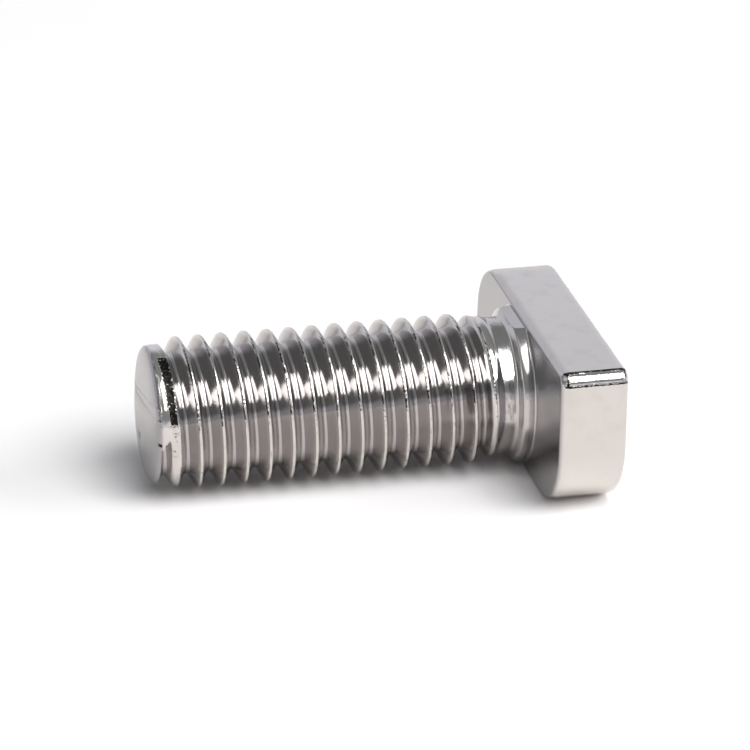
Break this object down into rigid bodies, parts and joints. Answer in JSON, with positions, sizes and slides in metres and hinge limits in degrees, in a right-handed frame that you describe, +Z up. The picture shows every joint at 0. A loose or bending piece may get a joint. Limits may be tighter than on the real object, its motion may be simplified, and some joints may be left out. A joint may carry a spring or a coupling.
{
  "type": "t slot bolt",
  "caption": "T slot bolt with a flat bar head that turns a quarter turn to lock in a channel, and a threaded shank on a short plain neck.",
  "frame": {"origin": "on the bolt's axis, in the plane of the bearing face under the head", "axes": "+X along the bolt's axis from the thread's tip towards the head; Y along the head's long side; +Z up, with the bolt lying on one long side of its head"},
  "size_m": [0.0294, 0.0216, 0.0102],
  "materials": {
    "stainless": "polished stainless steel with small pits and rolling marks"
  },
  "bodies": {
    "root": {"t_slot_bolt": "stainless"}
  },
  "joints": []
}
